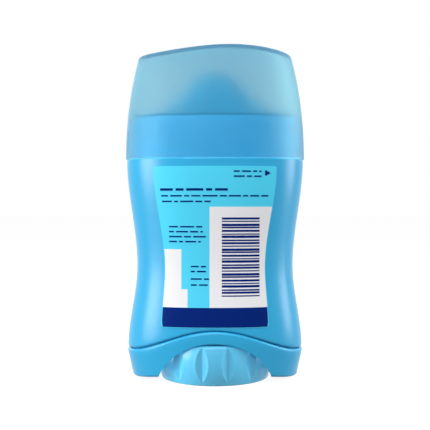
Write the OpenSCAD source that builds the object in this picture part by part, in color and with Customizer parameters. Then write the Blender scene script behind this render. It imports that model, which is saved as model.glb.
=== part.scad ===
// Twist-up deodorant stick in a waisted oval pack, standing on the flat underside of its dial.
// Millimetres, z up, origin in the middle of the underside. The label is on the -y side.

/* [Oval] */
// Roundness of every oval section: 2 is an ellipse, more is squarer
fullness = 2.35; // [2:0.05:2.8]
// Straight sides in one turn of an oval
facets = 56; // [48:4:64]

/* [Barrel] */
// Width of the barrel at its shoulder
pack_w = 55; // [52:0.5:60]
// Depth of the barrel at its shoulder
pack_d = 34; // [33:0.2:38]
// Width of the barrel at its waist
waist_w = 48.5; // [46:0.5:52]
// Depth of the barrel at its waist
waist_d = 30.4; // [29:0.2:33]
// Height of the waist above the joint at the sides
waist_up = 25.4; // [22:0.2:30]
// Height of the shoulder above the joint at the sides
barrel_h = 57.7; // [52:0.1:70]
// Rounding of the barrel's lower edge
low_edge_r = 0.7; // [0.3:0.1:0.9]
// Wall of the barrel's outer shell
barrel_wall = 1.2; // [1:0.1:1.5]
// Wall of the straight sleeve inside, which the stick slides in
sleeve_wall = 1; // [0.8:0.1:1.3]
// Gap between sleeve and outer shell at the waist
sleeve_gap = 0.4; // [0.3:0.1:0.8]
// Gap between the sleeve's foot and the base's floor
sleeve_lift = 0.2; // [0.1:0.1:0.5]

/* [Neck] */
// Height of the neck above the shoulder
neck_h = 12.9; // [10:0.1:16]
// Wall of the neck and of its top deck
neck_wall = 1.3; // [1:0.1:1.8]
// Rounding of the neck's top edge
neck_edge_r = 0.6; // [0.3:0.1:1]
// Gap between the neck and the cap round it
neck_gap = 0.4; // [0.3:0.05:0.8]

/* [Cap] */
// How far the cap stands out past the barrel's shoulder
cap_overhang = 0.3; // [0.1:0.1:0.8]
// Height of the cap from its rim to its crest
cap_h = 34.2; // [31:0.1:40]
// Wall of the cap
cap_wall = 1.2; // [1:0.1:1.6]
// How far each side leans in at the top
cap_taper_w = 4; // [2:0.2:6]
// How far the front and the back lean in at the top
cap_taper_d = 3.4; // [2:0.2:4.4]
// How late the sides lean in: 1 is a straight taper
cap_curve = 2.15; // [1.6:0.05:2.8]
// Sideways place of the crest
crest_x = 5; // [0:0.5:8]
// Fall of the top from the crest to the left shoulder
crest_left = 2.2; // [0.5:0.1:3]
// Fall of the top from the crest to the right shoulder
crest_right = 1.9; // [0.5:0.1:3]
// Crown of the top between its front and back edges
crest_crown = 0.5; // [0.2:0.1:1]
// Rounding of the edge round the top
cap_edge_r = 0.5; // [0.3:0.1:1.2]
// Gap between the cap's rim and the shoulder under it
cap_seat_gap = 0.2; // [0.1:0.05:0.4]

/* [Base] */
// Width of the base and the barrel at the joint
seam_w = 54.2; // [51:0.5:58]
// Depth of the base and the barrel at the joint
seam_d = 33.6; // [32.6:0.2:38]
// Width of the base at its feet
foot_w = 51.2; // [49:0.5:55]
// Depth of the base at its feet
foot_d = 32.6; // [31.6:0.2:36]
// Height of the feet's undersides above the dial's
foot_lift = 0.9; // [0.4:0.1:1.6]
// Rise of the feet's undersides from the sides towards the arches
foot_rise = 2.1; // [0:0.1:2.5]
// Rounding of the feet's outer edge
foot_r = 0.8; // [0.4:0.1:0.9]
// Height of the base at its sides, from the feet to the joint
base_h = 8.5; // [7:0.2:10]
// Height of the band between arch and joint at the front
band_h = 3.65; // [2.8:0.1:5]
// Sharpness of the joint's wave
wave_power = 1.55; // [1.2:0.05:2.2]
// Gap of the joint between base and barrel
seam_gap = 0.2; // [0.15:0.05:0.6]
// Rounding of the base's upper lip
lip_r = 0.9; // [0.5:0.1:1.1]
// Wall of the skirt at its feet
skirt_wall = 1.2; // [1:0.1:1.6]
// Wall of the spigot that goes up into the barrel
spigot_wall = 1.1; // [0.8:0.1:1.4]
// Height of the spigot above the joint at the front
spigot_up = 2; // [1.5:0.1:4]
// Gap between the spigot and the barrel round it
spigot_gap = 0.12; // [0.08:0.02:0.3]
// Thickness of the floor that carries the dial
floor_t = 1.5; // [1.2:0.1:2.2]
// Height of the floor's underside above the arches
floor_up = 0.2; // [0.1:0.1:0.6]
// Width of each arch at the feet
arch_w = 34.2; // [32:0.2:37]
// Gap between the dial's top and the arch's crown
arch_reveal = 0.6; // [0.4:0.1:1.2]

/* [Dial] */
// Diameter of the dial at its widest
dial_d = 35.2; // [33:0.2:35.8]
// Height of the dial's wheel
dial_h = 11.8; // [10:0.2:13.6]
// How far the dial's rim bulges out
dial_bulge = 0.9; // [0.7:0.05:1.1]
// Height of the rim's widest place
bulge_z = 6.3; // [5.6:0.1:6.8]
// Rounding of the dial's top edge
dial_top_r = 1.1; // [0.8:0.1:2]
// Rounding of the dial's bottom edge
dial_foot_r = 0.5; // [0.3:0.1:0.9]
// Wall of the dial's rim
dial_wall = 1.6; // [1.2:0.1:2.2]
// Thickness of the dial's web
web_t = 1.6; // [1.2:0.1:2.4]
// Number of leaf-shaped flutes round the rim
flutes = 14; // [10:1:18]
// Depth of a flute where the rim is widest
flute_depth = 0.72; // [0.5:0.02:0.9]
// Width of a flute there
flute_w = 3.9; // [3:0.1:4.6]
// Gap between the dial and the base round it
dial_gap = 0.3; // [0.2:0.05:0.4]

/* [Screw] */
// Diameter over the screw's thread
screw_d = 8; // [7:0.2:9]
// Diameter of the journal that turns in the base's floor
journal_d = 10; // [9.6:0.2:12]
// Clearance on the radius of the journal and of the screw
turn_fit = 0.08; // [0.05:0.01:0.1]
// Height of the snap collar above the floor
collar_h = 1.2; // [1:0.1:1.8]
// How far the snap collar stands out past the journal
collar_out = 0.5; // [0.3:0.1:0.8]
// Diameter of the thrust boss between dial and floor
boss_d = 15; // [13:0.5:18]
// Gap above and below the floor, for end play
end_play = 0.1; // [0.05:0.05:0.2]
// Distance from the screw's tip down from the neck's top
screw_short = 5; // [3:0.5:9]

/* [Elevator] */
// Thickness of the elevator's plate
plate_t = 1.2; // [1:0.1:1.8]
// Height of the rim that cups the stick
rim_h = 4; // [3:0.5:7]
// Thickness of that rim
rim_t = 0.8; // [0.6:0.1:1.2]
// Outer diameter of the threaded hub
hub_d = 12.5; // [11.5:0.5:14]
// Height of the threaded hub
hub_h = 7; // [5:0.5:10]
// Height of the two prongs that hold the stick
prong_h = 13; // [9:0.5:18]
// Width of a prong
prong_w = 6; // [4:0.5:9]
// Thickness of a prong
prong_t = 1.2; // [1:0.1:2]
// Distance of each prong from the middle
prong_x = 13; // [11.5:0.5:16]
// Clearance round the elevator in its sleeve
slide_gap = 0.3; // [0.2:0.05:0.5]
// Gap between the snap collar and the elevator at its lowest
park_gap = 0.25; // [0.2:0.05:0.5]

/* [Stick] */
// Height of the stick's dome above the neck's top
dome_h = 2.4; // [1.5:0.1:6]
// Fullness of the dome: 1 is round, 2 is a parabola
dome_power = 1.2; // [1:0.1:2]
// Clearance of the stick in its sleeve
stick_gap = 0.35; // [0.3:0.05:0.6]
// Clearance of the stick round the screw
core_gap = 0.5; // [0.3:0.1:1]
// Clearance of the stick round the elevator's hub, rim and prongs
cast_gap = 0.05; // [0.02:0.01:0.1]

/* [Seal] */
// Wall of the factory seal
seal_wall = 0.8; // [0.6:0.1:1.2]
// Gap between the seal and the stick's dome
seal_gap = 0.35; // [0.3:0.05:0.6]
// How far the seal's flange stays in from the neck's edge
flange_in = 0.7; // [0.4:0.1:1.2]
// Gap between the seal's flange and the neck's top
flange_gap = 0.05; // [0.02:0.01:0.2]
// Height of the hollow finger grip above the seal's dome
grip_h = 11.2; // [6:0.2:12]
// Spread of the grip, as a share of the dome's half size
grip_spread = 0.47; // [0.3:0.01:0.55]
// Steepness of the grip's side
grip_power = 3; // [2:0.1:4]

/* [Label] */
// Width of the label at its top
label_top_w = 36.6; // [33:0.2:39]
// Width of the label at the waist
label_mid_w = 29.9; // [27:0.2:33]
// Width of the label at its bottom
label_low_w = 31.8; // [29:0.2:34]
// Distance of the label's top below the shoulder
label_below = 2.3; // [1.5:0.1:6]
// Distance of the label's bottom above the barrel's rounded edge
label_above = 0.15; // [0.1:0.05:2]
// Thickness of the label's film
film_t = 0.1; // [0.08:0.01:0.2]
// Thickness of the print on the film
ink_t = 0.03; // [0.02:0.01:0.06]
// Gap between barrel and film, and between film and print
film_gap = 0.04; // [0.04:0.01:0.08]
// Rounding of the label's corners
label_corner = 0.6; // [0.4:0.1:2]
// Distance of the print in from the label's edge
print_in = 0.15; // [0.1:0.05:0.4]
// Gap between the band and the panels
print_gap = 0.05; // [0.02:0.01:0.2]
// Height of the dark band along the label's bottom
band_print_h = 5.9; // [4:0.1:8]
// Left edge of the large pale panel
panel_x = -1.6; // [-4:0.1:1]
// Height of the large pale panel
panel_h = 29.8; // [24:0.2:33]
// Width of the small pale panel at the left
side_panel_w = 5; // [3:0.1:7]
// Height of the small pale panel at the left
side_panel_h = 17.2; // [12:0.2:22]
// Number of stripes on the large panel
stripes = 26; // [16:1:30]
// Left end of the stripes
stripe_x = 2; // [1.5:0.1:4]
// Length of the stripes
stripe_w = 11.2; // [9:0.1:12]
// Thickness of the thinnest stripe
stripe_t = 0.28; // [0.2:0.02:0.32]
// Distance of the stripes from the panel's top and bottom
stripe_margin = 3; // [2:0.1:5]

/* [Hidden] */

// Colours as the photo shows them
FROSTED = [0.62, 0.82, 0.89, 0.6];
BLUE = [0.29, 0.66, 0.86];
DEEP_BLUE = [0.18, 0.6, 0.82];
PALE_BLUE = [0.4, 0.72, 0.88];
CREAM = [0.96, 0.96, 0.93];
NATURAL = [0.9, 0.92, 0.93];
CYAN = [0.38, 0.85, 0.95];
NAVY = [0.02, 0.15, 0.44];
PAPER = [0.95, 0.95, 0.96];

// Steps of the curved walls and edges
BARREL_STEPS = 9;
INNER_STEPS = 4;
CAP_STEPS = 8;
EDGE_STEPS = 3;
RIM_STEPS = 8;
DOME_SHARES = [1, 0.94, 0.75, 0.45];
SEAL_SHARES = [0.97, 0.86, 0.72, 0.58, 0.44, 0.3, 0.15];
TOP_SHARES = [0.4, 0.75, 1];
FINE = 96;
OVERLAP = 0.5;

// The arch's outline is a curve of this form
ARCH_SIDE = 2.3;
ARCH_TOP = 0.69;
ARCH_POINTS = 40;

// Rows of the label, with its corners' rows as shares of their rounding, and its narrowest column
LABEL_ROWS = 14;
CORNER_SHARES = [0.04, 0.35, 1];
PANEL_ROWS = 8;
SIDE_PANEL_ROWS = 5;
BAND_ROWS = 2;
COLUMN_MIN = 0.05;

// The stripes are uneven on purpose, and a code for nothing: their thickness over the thinnest,
// and how far each is shifted, as a share of their pitch
STRIPE_MIX = [1, 1.7, 1.35, 2];
STRIPE_SHIFT = 0.1;
STRIPE_TURN = 137;

// Heights, from the underside up
arch_top_z = dial_h + arch_reveal;
arch_h = arch_top_z - foot_lift;
floor_z = arch_top_z + floor_up;
floor_top_z = floor_z + floor_t;
seam_side_z = foot_lift + base_h;
seam_top_z = arch_top_z + band_h;
seam_rise = seam_top_z - seam_side_z;
spigot_top_z = seam_top_z + spigot_up;
waist_z = seam_side_z + waist_up;
shoulder_z = seam_side_z + barrel_h;
neck_top_z = shoulder_z + neck_h;
rim_z = shoulder_z + cap_seat_gap;
crest_z = shoulder_z + cap_h;
collar_z = floor_top_z + end_play;
plate_z = collar_z + collar_h + park_gap;
plate_top_z = plate_z + plate_t;
screw_tip_z = neck_top_z - screw_short;

// Half widths and half depths
cap_hw0 = pack_w / 2 + cap_overhang;
cap_hd0 = pack_d / 2 + cap_overhang;
plug_hw = barrel_hw(spigot_top_z) - barrel_wall - spigot_gap;
plug_hd = barrel_hd(spigot_top_z) - barrel_wall - spigot_gap;
in_hw = plug_hw - spigot_wall;
in_hd = plug_hd - spigot_wall;
bore_hw = min(waist_w / 2 - barrel_wall, in_hw) - sleeve_gap - sleeve_wall;
bore_hd = min(waist_d / 2 - barrel_wall, in_hd) - sleeve_gap - sleeve_wall;
elevator_hw = bore_hw - slide_gap;
elevator_hd = bore_hd - slide_gap;
stick_hw = bore_hw - stick_gap;
stick_hd = bore_hd - stick_gap;

// Small sums used more than once
dial_r = dial_d / 2;
seal_out = seal_gap + seal_wall;
label_low_z = seam_top_z + seam_gap + low_edge_r + label_above;
label_top_z = shoulder_z - label_below;

// One corner of the oval at angle a, on a half width and half depth of 1
function side_x(a) = sign(cos(a)) * pow(abs(cos(a)), 2 / fullness);
function side_y(a) = sign(sin(a)) * pow(abs(sin(a)), 2 / fullness);
angles = [for (i = [0:facets - 1]) 360 * i / facets];

// A level oval ring, and the flat outline of the same oval
function ring(hw, hd, z) = [for (a = angles) [hw * side_x(a), hd * side_y(a), z]];
function outline(hw, hd) = [for (a = angles) [hw * side_x(a), hd * side_y(a)]];

// A curve that leaves 0 and reaches 1 softly
function ease(t) = let (u = max(0, min(1, t))) u * u * (3 - 2 * u);

// Height of the wave-shaped joint at angle a
function seam(a) = seam_side_z + seam_rise * pow(cos(90 * abs(side_x(a))), wave_power);

// Height of the feet's undersides at angle a
function foot(a) = foot_lift + foot_rise * pow(abs(side_y(a)), 3);

// The waisted side of the barrel: half size at height z from its top, waist and joint sizes
function waisted(z, top, mid, low) =
    z >= waist_z
        ? mid + (top - mid) * ease((z - waist_z) / (shoulder_z - waist_z))
        : mid + (low - mid) * ease((waist_z - z) / (waist_z - seam_side_z));
function barrel_hw(z) = waisted(z, pack_w, waist_w, seam_w) / 2;
function barrel_hd(z) = waisted(z, pack_d, waist_d, seam_d) / 2;

// A ring of the barrel's side at share t of the way from height z0 to z1, inset by e.
// Each height may be one number, or one for each angle.
function at(z, i) = is_list(z) ? z[i] : z;
function barrel_ring(z0, z1, t, e) = [
    for (i = [0:facets - 1])
        let (z = at(z0, i) + t * (at(z1, i) - at(z0, i)))
            [(barrel_hw(z) - e) * side_x(angles[i]), (barrel_hd(z) - e) * side_y(angles[i]), z]
];

// The cap's side at share t of its height, and its crest at share u of its half width
function cap_hw(t) = cap_hw0 - cap_taper_w * pow(t, cap_curve);
function cap_hd(t) = cap_hd0 - cap_taper_d * pow(t, cap_curve);
crest_u = crest_x / cap_hw(1);
function crest(u) =
    u < crest_u
        ? crest_z - crest_left * ease((crest_u - u) / (1 + crest_u))
        : crest_z - crest_right * pow((u - crest_u) / (1 - crest_u), 2);
function cap_ring(t, inset, drop) = [
    for (a = angles)
        let (u = side_x(a))
            [(cap_hw(t) - inset) * u, (cap_hd(t) - inset) * side_y(a), rim_z + t * (crest(u) - drop - rim_z)]
];
function cap_top_ring(k, inset, drop) = [
    for (a = angles)
        let (u = k * side_x(a))
            [
                (cap_hw(1) - inset) * u,
                (cap_hd(1) - inset) * k * side_y(a),
                crest(u) - drop + crest_crown * (1 - k * k)
            ]
];

// The neck follows the inside of the cap round it, a gap away
function neck_ring(z, e) = [
    for (a = angles)
        let (t = max(0, z - rim_z) / (crest(side_x(a)) - rim_z))
            [
                (cap_hw(t) - cap_wall - neck_gap - e) * side_x(a),
                (cap_hd(t) - cap_wall - neck_gap - e) * side_y(a),
                z
            ]
];

// A solid through a list of rings, each with as many points. It closes on a point at each end,
// or on itself where no end points are given.
module loft(rings, first = undef, last = undef) {
    n = len(rings[0]);
    m = len(rings);
    open = is_undef(first);
    skin = [
        for (i = [0:open ? m - 1 : m - 2], j = [0:n - 1])
            let (a = i * n + j, b = i * n + (j + 1) % n, k = (i + 1) % m, c = k * n + (j + 1) % n, d = k * n + j)
                each [[a, d, c], [a, c, b]]
    ];
    ends = open
        ? []
        : [
            for (j = [0:n - 1])
                each [
                    [m * n, j, (j + 1) % n],
                    [(m - 1) * n + j, m * n + 1, (m - 1) * n + (j + 1) % n]
                ]
        ];
    polyhedron(
        points = concat([for (r = rings) each r], open ? [] : [first, last]),
        faces = concat(skin, ends)
    );
}

// Frosted over-cap: one moulding with a crowned top, higher right of the middle
module cap() {
    edge_t = 1 - cap_edge_r / (crest_z - rim_z);
    inside_top = [for (k = TOP_SHARES) cap_top_ring(k, cap_wall, cap_wall)];
    inside = [for (i = [CAP_STEPS - 1:-1:0]) cap_ring(i / CAP_STEPS, cap_wall, cap_wall)];
    outside = [for (i = [0:CAP_STEPS]) cap_ring(edge_t * i / CAP_STEPS, 0, 0)];
    edge = [
        for (i = [1:EDGE_STEPS])
            let (e = 90 * i / EDGE_STEPS)
                [
                    for (a = angles)
                        let (u = side_x(a), in = cap_edge_r * (1 - cos(e)))
                            [
                                (cap_hw(1) - in) * u,
                                (cap_hd(1) - in) * side_y(a),
                                crest(u) - cap_edge_r * (1 - sin(e))
                            ]
                ]
    ];
    outside_top = [for (i = [1:-1:0]) cap_top_ring(TOP_SHARES[i], cap_edge_r, 0)];
    color(FROSTED)
        loft(
            concat(inside_top, inside, outside, edge, outside_top),
            first = [0, 0, crest(0) - cap_wall + crest_crown],
            last = [0, 0, crest(0) + crest_crown]
        );
}

// Height of the stick's dome at share s of its half size, raised by e away from its foot
function dome(s, e) = neck_top_z + dome_h * pow(1 - s * s, dome_power / 2) + e * pow(1 - s * s, 0.25);

// Height of the finger grip above the seal's dome at share s of its half size
function grip(s) = grip_h * exp(-pow(s / grip_spread, grip_power));

// Rings from the foot of the seal's dome up its finger grip, e away from the stick
function seal_rings(e) = [
    for (s = SEAL_SHARES) ring((stick_hw + e) * s, (stick_hd + e) * s, dome(s, e) + grip(s))
];

// Factory seal: a thin low dome over the stick, with a hollow bell-shaped finger grip in the middle
// and a flange that lies on the neck's top
module seal_dome() {
    flange_low_z = neck_top_z + flange_gap;
    flange_top_z = flange_low_z + seal_wall;
    inside = seal_rings(seal_gap);
    outside = seal_rings(seal_out);
    color(DEEP_BLUE)
        loft(
            concat(
                [for (i = [len(inside) - 1:-1:0]) inside[i]],
                [
                    ring(stick_hw + seal_gap, stick_hd + seal_gap, flange_low_z),
                    [for (p = neck_ring(neck_top_z, flange_in)) [p.x, p.y, flange_low_z]],
                    [for (p = neck_ring(neck_top_z, flange_in)) [p.x, p.y, flange_top_z]],
                    ring(stick_hw + seal_out, stick_hd + seal_out, flange_top_z)
                ],
                outside
            ),
            first = [0, 0, dome(0, seal_gap) + grip(0)],
            last = [0, 0, dome(0, seal_out) + grip(0)]
        );
}

// The elevator's two prongs, grown by g
module prongs(g) {
    for (side = [-1, 1])
        translate([side * prong_x - prong_t / 2 - g, -prong_w / 2 - g, plate_top_z - OVERLAP])
            cube([prong_t + 2 * g, prong_w + 2 * g, prong_h + OVERLAP + g]);
}

// The deodorant stick: an oval bar with a domed top, cast round the elevator's rim, hub and prongs
module stick() {
    cup_hw = elevator_hw - rim_t - cast_gap;
    cup_hd = elevator_hd - rim_t - cast_gap;
    low_z = plate_top_z + cast_gap;
    step_z = plate_top_z + rim_h + cast_gap;
    color(CREAM)
        difference() {
            loft(
                concat(
                    [
                        ring(cup_hw, cup_hd, low_z),
                        ring(cup_hw, cup_hd, step_z),
                        ring(stick_hw, stick_hd, step_z)
                    ],
                    [for (s = DOME_SHARES) ring(stick_hw * s, stick_hd * s, dome(s, 0))]
                ),
                first = [0, 0, low_z],
                last = [0, 0, dome(0, 0)]
            );
            translate([0, 0, plate_z])
                cylinder(d = screw_d + 2 * core_gap, h = screw_tip_z + core_gap - plate_z, $fn = FINE);
            translate([0, 0, plate_z])
                cylinder(d = hub_d + 2 * cast_gap, h = hub_h + cast_gap, $fn = FINE);
            prongs(cast_gap);
        }
}

// The carrier under the stick: an oval cup with prongs, and the hub that climbs the screw
module elevator() {
    color(NATURAL)
        difference() {
            union() {
                translate([0, 0, plate_z])
                    linear_extrude(plate_t)
                        polygon(outline(elevator_hw, elevator_hd));
                translate([0, 0, plate_z])
                    linear_extrude(plate_t + rim_h)
                        difference() {
                            polygon(outline(elevator_hw, elevator_hd));
                            polygon(outline(elevator_hw - rim_t, elevator_hd - rim_t));
                        }
                translate([0, 0, plate_z])
                    cylinder(d = hub_d, h = hub_h, $fn = FINE);
                prongs(0);
            }
            translate([0, 0, plate_z - OVERLAP])
                cylinder(r = screw_d / 2 + turn_fit, h = hub_h + 2 * OVERLAP, $fn = FINE);
        }
}

// Waisted outer shell, shoulder, neck, top deck and inner sleeve, moulded as one
module barrel() {
    low = [for (a = angles) seam(a) + seam_gap];
    sleeve_hw = bore_hw + sleeve_wall;
    sleeve_hd = bore_hd + sleeve_wall;
    sleeve_low_z = floor_top_z + sleeve_lift;
    deck_z = neck_top_z - neck_wall;
    ledge_z = shoulder_z - barrel_wall;
    side_low = [for (z = low) z + low_edge_r];
    outside = concat(
        [
            for (i = [0:EDGE_STEPS - 1])
                let (e = 90 * i / EDGE_STEPS)
                    barrel_ring(low, side_low, 1 - cos(e), low_edge_r * (1 - sin(e)))
        ],
        [for (i = [0:BARREL_STEPS]) barrel_ring(side_low, waist_z, i / BARREL_STEPS, 0)],
        [for (i = [1:BARREL_STEPS]) barrel_ring(waist_z, shoulder_z, i / BARREL_STEPS, 0)]
    );
    neck = [
        neck_ring(shoulder_z, 0),
        neck_ring(shoulder_z + neck_h / 2, 0),
        for (i = [0:EDGE_STEPS])
            let (e = 90 * i / EDGE_STEPS)
                neck_ring(neck_top_z - neck_edge_r * (1 - sin(e)), neck_edge_r * (1 - cos(e)))
    ];
    sleeve = [
        ring(bore_hw, bore_hd, neck_top_z),
        ring(bore_hw, bore_hd, sleeve_low_z),
        ring(sleeve_hw, sleeve_hd, sleeve_low_z),
        ring(sleeve_hw, sleeve_hd, deck_z)
    ];
    inside = concat(
        [neck_ring(deck_z, neck_wall), neck_ring(ledge_z, neck_wall)],
        [for (i = [0:INNER_STEPS - 1]) barrel_ring(ledge_z, waist_z, i / INNER_STEPS, barrel_wall)],
        [for (i = [0:INNER_STEPS]) barrel_ring(waist_z, low, i / INNER_STEPS, barrel_wall)]
    );
    color(BLUE)
        loft(concat(outside, neck, sleeve, inside));
}

// The arch through front and back, which shows the dial
module arch_cut() {
    rotate([90, 0, 0])
        linear_extrude(2 * seam_d, center = true)
            polygon(
                concat(
                    [[arch_w / 2, -OVERLAP], [-arch_w / 2, -OVERLAP]],
                    [
                        for (i = [0:ARCH_POINTS])
                            let (u = -cos(180 * i / ARCH_POINTS))
                                [
                                    u * arch_w / 2,
                                    foot_lift + arch_h * pow(1 - pow(abs(u), ARCH_SIDE), ARCH_TOP)
                                ]
                    ]
                )
            );
}

// A ring along the feet's undersides, inset by e and raised by up
function foot_ring(e, up) = [
    for (a = angles) [(foot_w / 2 - e) * side_x(a), (foot_d / 2 - e) * side_y(a), foot(a) + up]
];

// Skirt with two feet and two arches, spigot and floor. It closes the barrel from below.
module base() {
    skirt = [
        for (t = [0, 0.5, 1])
            [
                for (a = angles)
                    [
                        (foot_w + t * (seam_w - foot_w)) / 2 * side_x(a),
                        (foot_d + t * (seam_d - foot_d)) / 2 * side_y(a),
                        foot(a) + foot_r + t * (seam(a) - lip_r - foot(a) - foot_r)
                    ]
            ]
    ];
    lip = [
        for (i = [1:EDGE_STEPS])
            let (e = 90 * i / EDGE_STEPS, in = lip_r * (1 - cos(e)))
                [
                    for (a = angles)
                        [(seam_w / 2 - in) * side_x(a), (seam_d / 2 - in) * side_y(a), seam(a) - lip_r * (1 - sin(e))]
                ]
    ];
    joint = [for (a = angles) seam(a)];
    spigot = [
        for (t = [0, 0.5, 1])
            barrel_ring(joint, spigot_top_z, t, barrel_wall + spigot_gap)
    ];
    inside = [
        ring(in_hw, in_hd, spigot_top_z),
        ring(in_hw, in_hd, floor_z),
        foot_ring(skirt_wall, 0)
    ];
    under = [
        for (i = [0:EDGE_STEPS - 1])
            let (e = 90 * i / EDGE_STEPS)
                foot_ring(foot_r * (1 - sin(e)), foot_r * (1 - cos(e)))
    ];
    color(BLUE)
        difference() {
            union() {
                loft(concat(skirt, lip, spigot, inside, under));
                translate([0, 0, floor_z])
                    linear_extrude(floor_t)
                        polygon(outline(in_hw + spigot_wall / 2, in_hd + spigot_wall / 2));
            }
            arch_cut();
            dial_shape(dial_gap);
            translate([0, 0, floor_z - OVERLAP])
                cylinder(r = journal_d / 2 + turn_fit, h = floor_t + 2 * OVERLAP, $fn = FINE);
        }
}

// The wheel as a solid of revolution, grown by g: a bulging rim with rounded edges
module dial_shape(g) {
    top_z = dial_h - dial_top_r;
    reach = bulge_z - dial_foot_r;
    bulge_r = (reach * reach + dial_bulge * dial_bulge) / (2 * dial_bulge);
    foot_x = rim_x(dial_foot_r - bulge_z, bulge_r);
    top_x = rim_x(top_z - bulge_z, bulge_r);
    rotate_extrude($fn = FINE)
        polygon(
            concat(
                [[0, -g], [foot_x - dial_foot_r, -g]],
                [
                    for (i = [0:RIM_STEPS])
                        let (z = dial_foot_r + (top_z - dial_foot_r) * i / RIM_STEPS)
                            [rim_x(z - bulge_z, bulge_r) + g, z]
                ],
                [
                    for (i = [1:EDGE_STEPS + 1])
                        let (e = 90 * i / (EDGE_STEPS + 1))
                            [top_x - dial_top_r + (dial_top_r + g) * cos(e), top_z + (dial_top_r + g) * sin(e)]
                ],
                [[0, dial_h + g]]
            )
        );
}
function rim_x(z, r) = dial_r - r + sqrt(r * r - z * z);

// The straight-sided groove that a flute is cut with. The bulging rim gives it its leaf shape.
module flute_cut() {
    sag = dial_r - sqrt(dial_r * dial_r - flute_w * flute_w / 4);
    translate([dial_r - flute_depth, 0, -OVERLAP])
        linear_extrude(dial_h + 2 * OVERLAP)
            polygon([[0, 0], [2 * (flute_depth - sag), flute_w], [2 * (flute_depth - sag), -flute_w]]);
}

// Hand wheel with leaf-shaped flutes, its thrust boss, journal, snap collar and screw, moulded as one
module dial() {
    hollow_r = dial_r - dial_bulge - dial_wall - flute_depth;
    color(PALE_BLUE) {
        difference() {
            dial_shape(0);
            for (i = [0:flutes - 1])
                rotate([0, 0, (i + 0.5) * 360 / flutes - 90])
                    flute_cut();
            translate([0, 0, web_t])
                difference() {
                    cylinder(r = hollow_r, h = dial_h, $fn = FINE);
                    cylinder(d = boss_d, h = dial_h, $fn = FINE);
                }
        }
        translate([0, 0, dial_h - OVERLAP])
            cylinder(d = boss_d, h = floor_z - end_play - dial_h + OVERLAP, $fn = FINE);
        translate([0, 0, dial_h - OVERLAP])
            cylinder(d = journal_d, h = collar_z - dial_h + 2 * OVERLAP, $fn = FINE);
        translate([0, 0, collar_z])
            cylinder(
                d1 = journal_d + 2 * collar_out,
                d2 = journal_d - 2 * collar_out,
                h = collar_h,
                $fn = FINE
            );
        translate([0, 0, collar_z])
            cylinder(d = screw_d, h = screw_tip_z - collar_z, $fn = FINE);
    }
}

// Corner k of an oval's side, counted from its middle, on a half width and half depth of 1
function corner_x(k) = side_x(90 - k * 360 / facets);
function corner_y(k) = side_y(90 - k * 360 / facets);

// The barrel's back at place x and height z, raised by e. It is straight between its corners.
function back_y(x, z, e) =
    let (
        u = min(1, abs(x) / (barrel_hw(z) + e)),
        k = floor(asin(pow(u, fullness / 2)) * facets / 360),
        share = (u - corner_x(k)) / (corner_x(k + 1) - corner_x(k))
    )
        -(barrel_hd(z) + e) * (corner_y(k) + share * (corner_y(k + 1) - corner_y(k)));

// Half width of the label at height z, with its rounded corners
function label_side(z) =
    let (
        side = z >= waist_z
            ? label_mid_w + (label_top_w - label_mid_w) * ease((z - waist_z) / (label_top_z - waist_z))
            : label_mid_w + (label_low_w - label_mid_w) * ease((waist_z - z) / (waist_z - label_low_z)),
        edge = min(label_corner, z - label_low_z, label_top_z - z),
        back = label_corner - max(0, edge)
    )
        side / 2 - label_corner + sqrt(max(0, label_corner * label_corner - back * back));

// A thin sheet on the barrel's back: rows at heights zs, from left to right, raised by e, t thick.
// Its columns run along the barrel's corners, so that it lies on the same facets.
module sheet(zs, left, right, e, t) {
    rows = len(zs);
    corners = [
        for (k = [-facets / 4:facets / 4])
            let (
                inside = [
                    for (i = [0:rows - 1])
                        let (x = (barrel_hw(zs[i]) + e) * corner_x(k))
                            min(x - left[i], right[i] - x)
                ]
            )
                if (max(inside) > COLUMN_MIN) k
    ];
    columns = len(corners) + 1;
    n = columns + 1;
    layer = rows * n;
    places = [
        for (i = [0:rows - 1])
            concat(
                left[i],
                [
                    for (j = [1:columns - 1])
                        let (
                            x = (barrel_hw(zs[i]) + e) * corner_x(corners[j - 1]),
                            low = left[i] + j * COLUMN_MIN,
                            high = right[i] - (columns - j) * COLUMN_MIN
                        )
                            max(low, min(high, x))
                ],
                right[i]
            )
    ];
    points = [
        for (up = [e, e + t], i = [0:rows - 1], j = [0:columns])
            [places[i][j], back_y(places[i][j], zs[i], up), zs[i]]
    ];
    cells = [
        for (i = [0:rows - 2], j = [0:columns - 1])
            let (a = i * n + j, b = a + 1, c = a + n + 1, d = a + n)
                each [
                    [a, b, c],
                    [a, c, d],
                    [layer + a, layer + c, layer + b],
                    [layer + a, layer + d, layer + c]
                ]
    ];
    sides = [
        for (i = [0:rows - 2])
            let (a = i * n, d = a + n, b = a + columns, c = d + columns)
                each [
                    [a, d, layer + d],
                    [a, layer + d, layer + a],
                    [b, layer + c, c],
                    [b, layer + b, layer + c]
                ]
    ];
    ends = [
        for (j = [0:columns - 1])
            let (a = j, b = j + 1, d = (rows - 1) * n + j, c = d + 1)
                each [
                    [a, layer + b, b],
                    [a, layer + a, layer + b],
                    [d, c, layer + c],
                    [d, layer + c, layer + d]
                ]
    ];
    polyhedron(points = points, faces = concat(cells, sides, ends));
}

// A field of print between heights z0 and z1 and places x0 and x1, kept on the label
module field(x0, x1, z0, z1, rows) {
    zs = [for (i = [0:rows]) z0 + (z1 - z0) * i / rows];
    sheet(
        zs,
        [for (z = zs) max(x0, print_in - label_side(z))],
        [for (z = zs) min(x1, label_side(z) - print_in)],
        film_t + 2 * film_gap,
        ink_t
    );
}

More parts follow.
